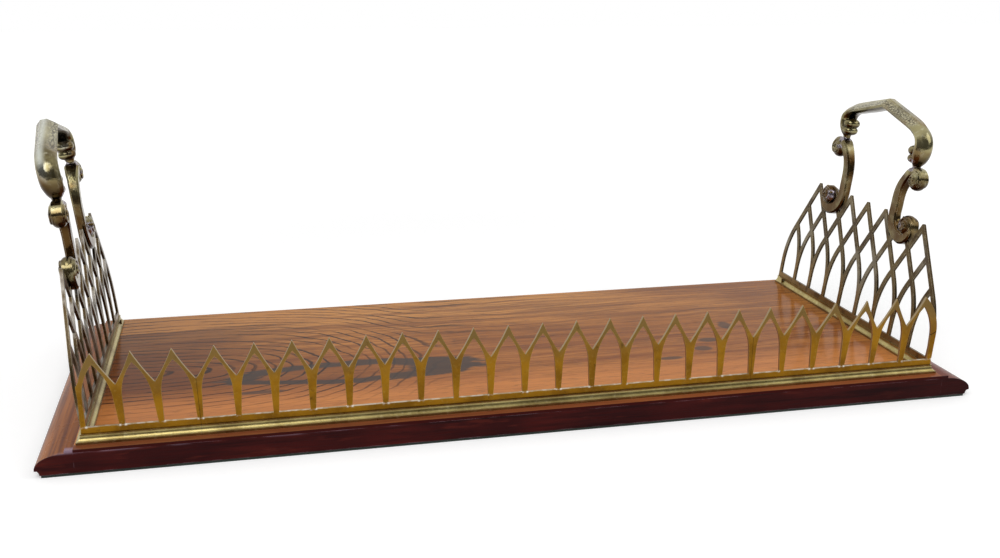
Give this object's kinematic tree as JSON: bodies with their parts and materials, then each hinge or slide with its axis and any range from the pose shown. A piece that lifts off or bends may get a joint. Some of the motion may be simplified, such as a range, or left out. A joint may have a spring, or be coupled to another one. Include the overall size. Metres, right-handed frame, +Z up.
{
  "type": "book tray",
  "caption": "Rosewood book tray with an open back, a low pierced brass gallery of pointed arches in front, leaning lattice ends and scroll handles.",
  "frame": {"origin": "on the table, under the middle of the board", "axes": "+X along the length, +Y towards the open back, +Z up"},
  "size_m": [0.5198, 0.2046, 0.1624],
  "materials": {
    "core_wood": "plain sawn",
    "rosewood_top": "French polished",
    "rosewood_edge": "French polished",
    "baize": "felted",
    "bead_brass": "worn polish",
    "gallery_brass": "aged, flat",
    "lattice_brass": "aged, flat",
    "handle_brass": "cast, dark in the recesses",
    "pin_brass": "plain"
  },
  "bodies": {
    "root": {"core_board": "core_wood", "top_veneer": "rosewood_top", "front_lipping": "rosewood_edge", "back_lipping": "rosewood_edge", "left_end_moulding": "rosewood_edge", "right_end_moulding": "rosewood_edge", "baize_lining": "baize", "front_bead_left": "bead_brass", "front_bead_middle": "bead_brass", "front_bead_right": "bead_brass", "left_end_bead": "bead_brass", "right_end_bead": "bead_brass", "front_gallery_left": "gallery_brass", "front_gallery_middle": "gallery_brass", "front_gallery_right": "gallery_brass", "left_end_gallery": "lattice_brass", "right_end_gallery": "lattice_brass", "left_front_scroll": "handle_brass", "left_back_scroll": "handle_brass", "right_front_scroll": "handle_brass", "right_back_scroll": "handle_brass", "left_grip": "handle_brass", "right_grip": "handle_brass", "left_neck_pins": "pin_brass", "right_neck_pins": "pin_brass", "left_scroll_rivets": "pin_brass", "right_scroll_rivets": "pin_brass", "bead_pins": "pin_brass", "gallery_screws": "pin_brass"}
  },
  "joints": []
}
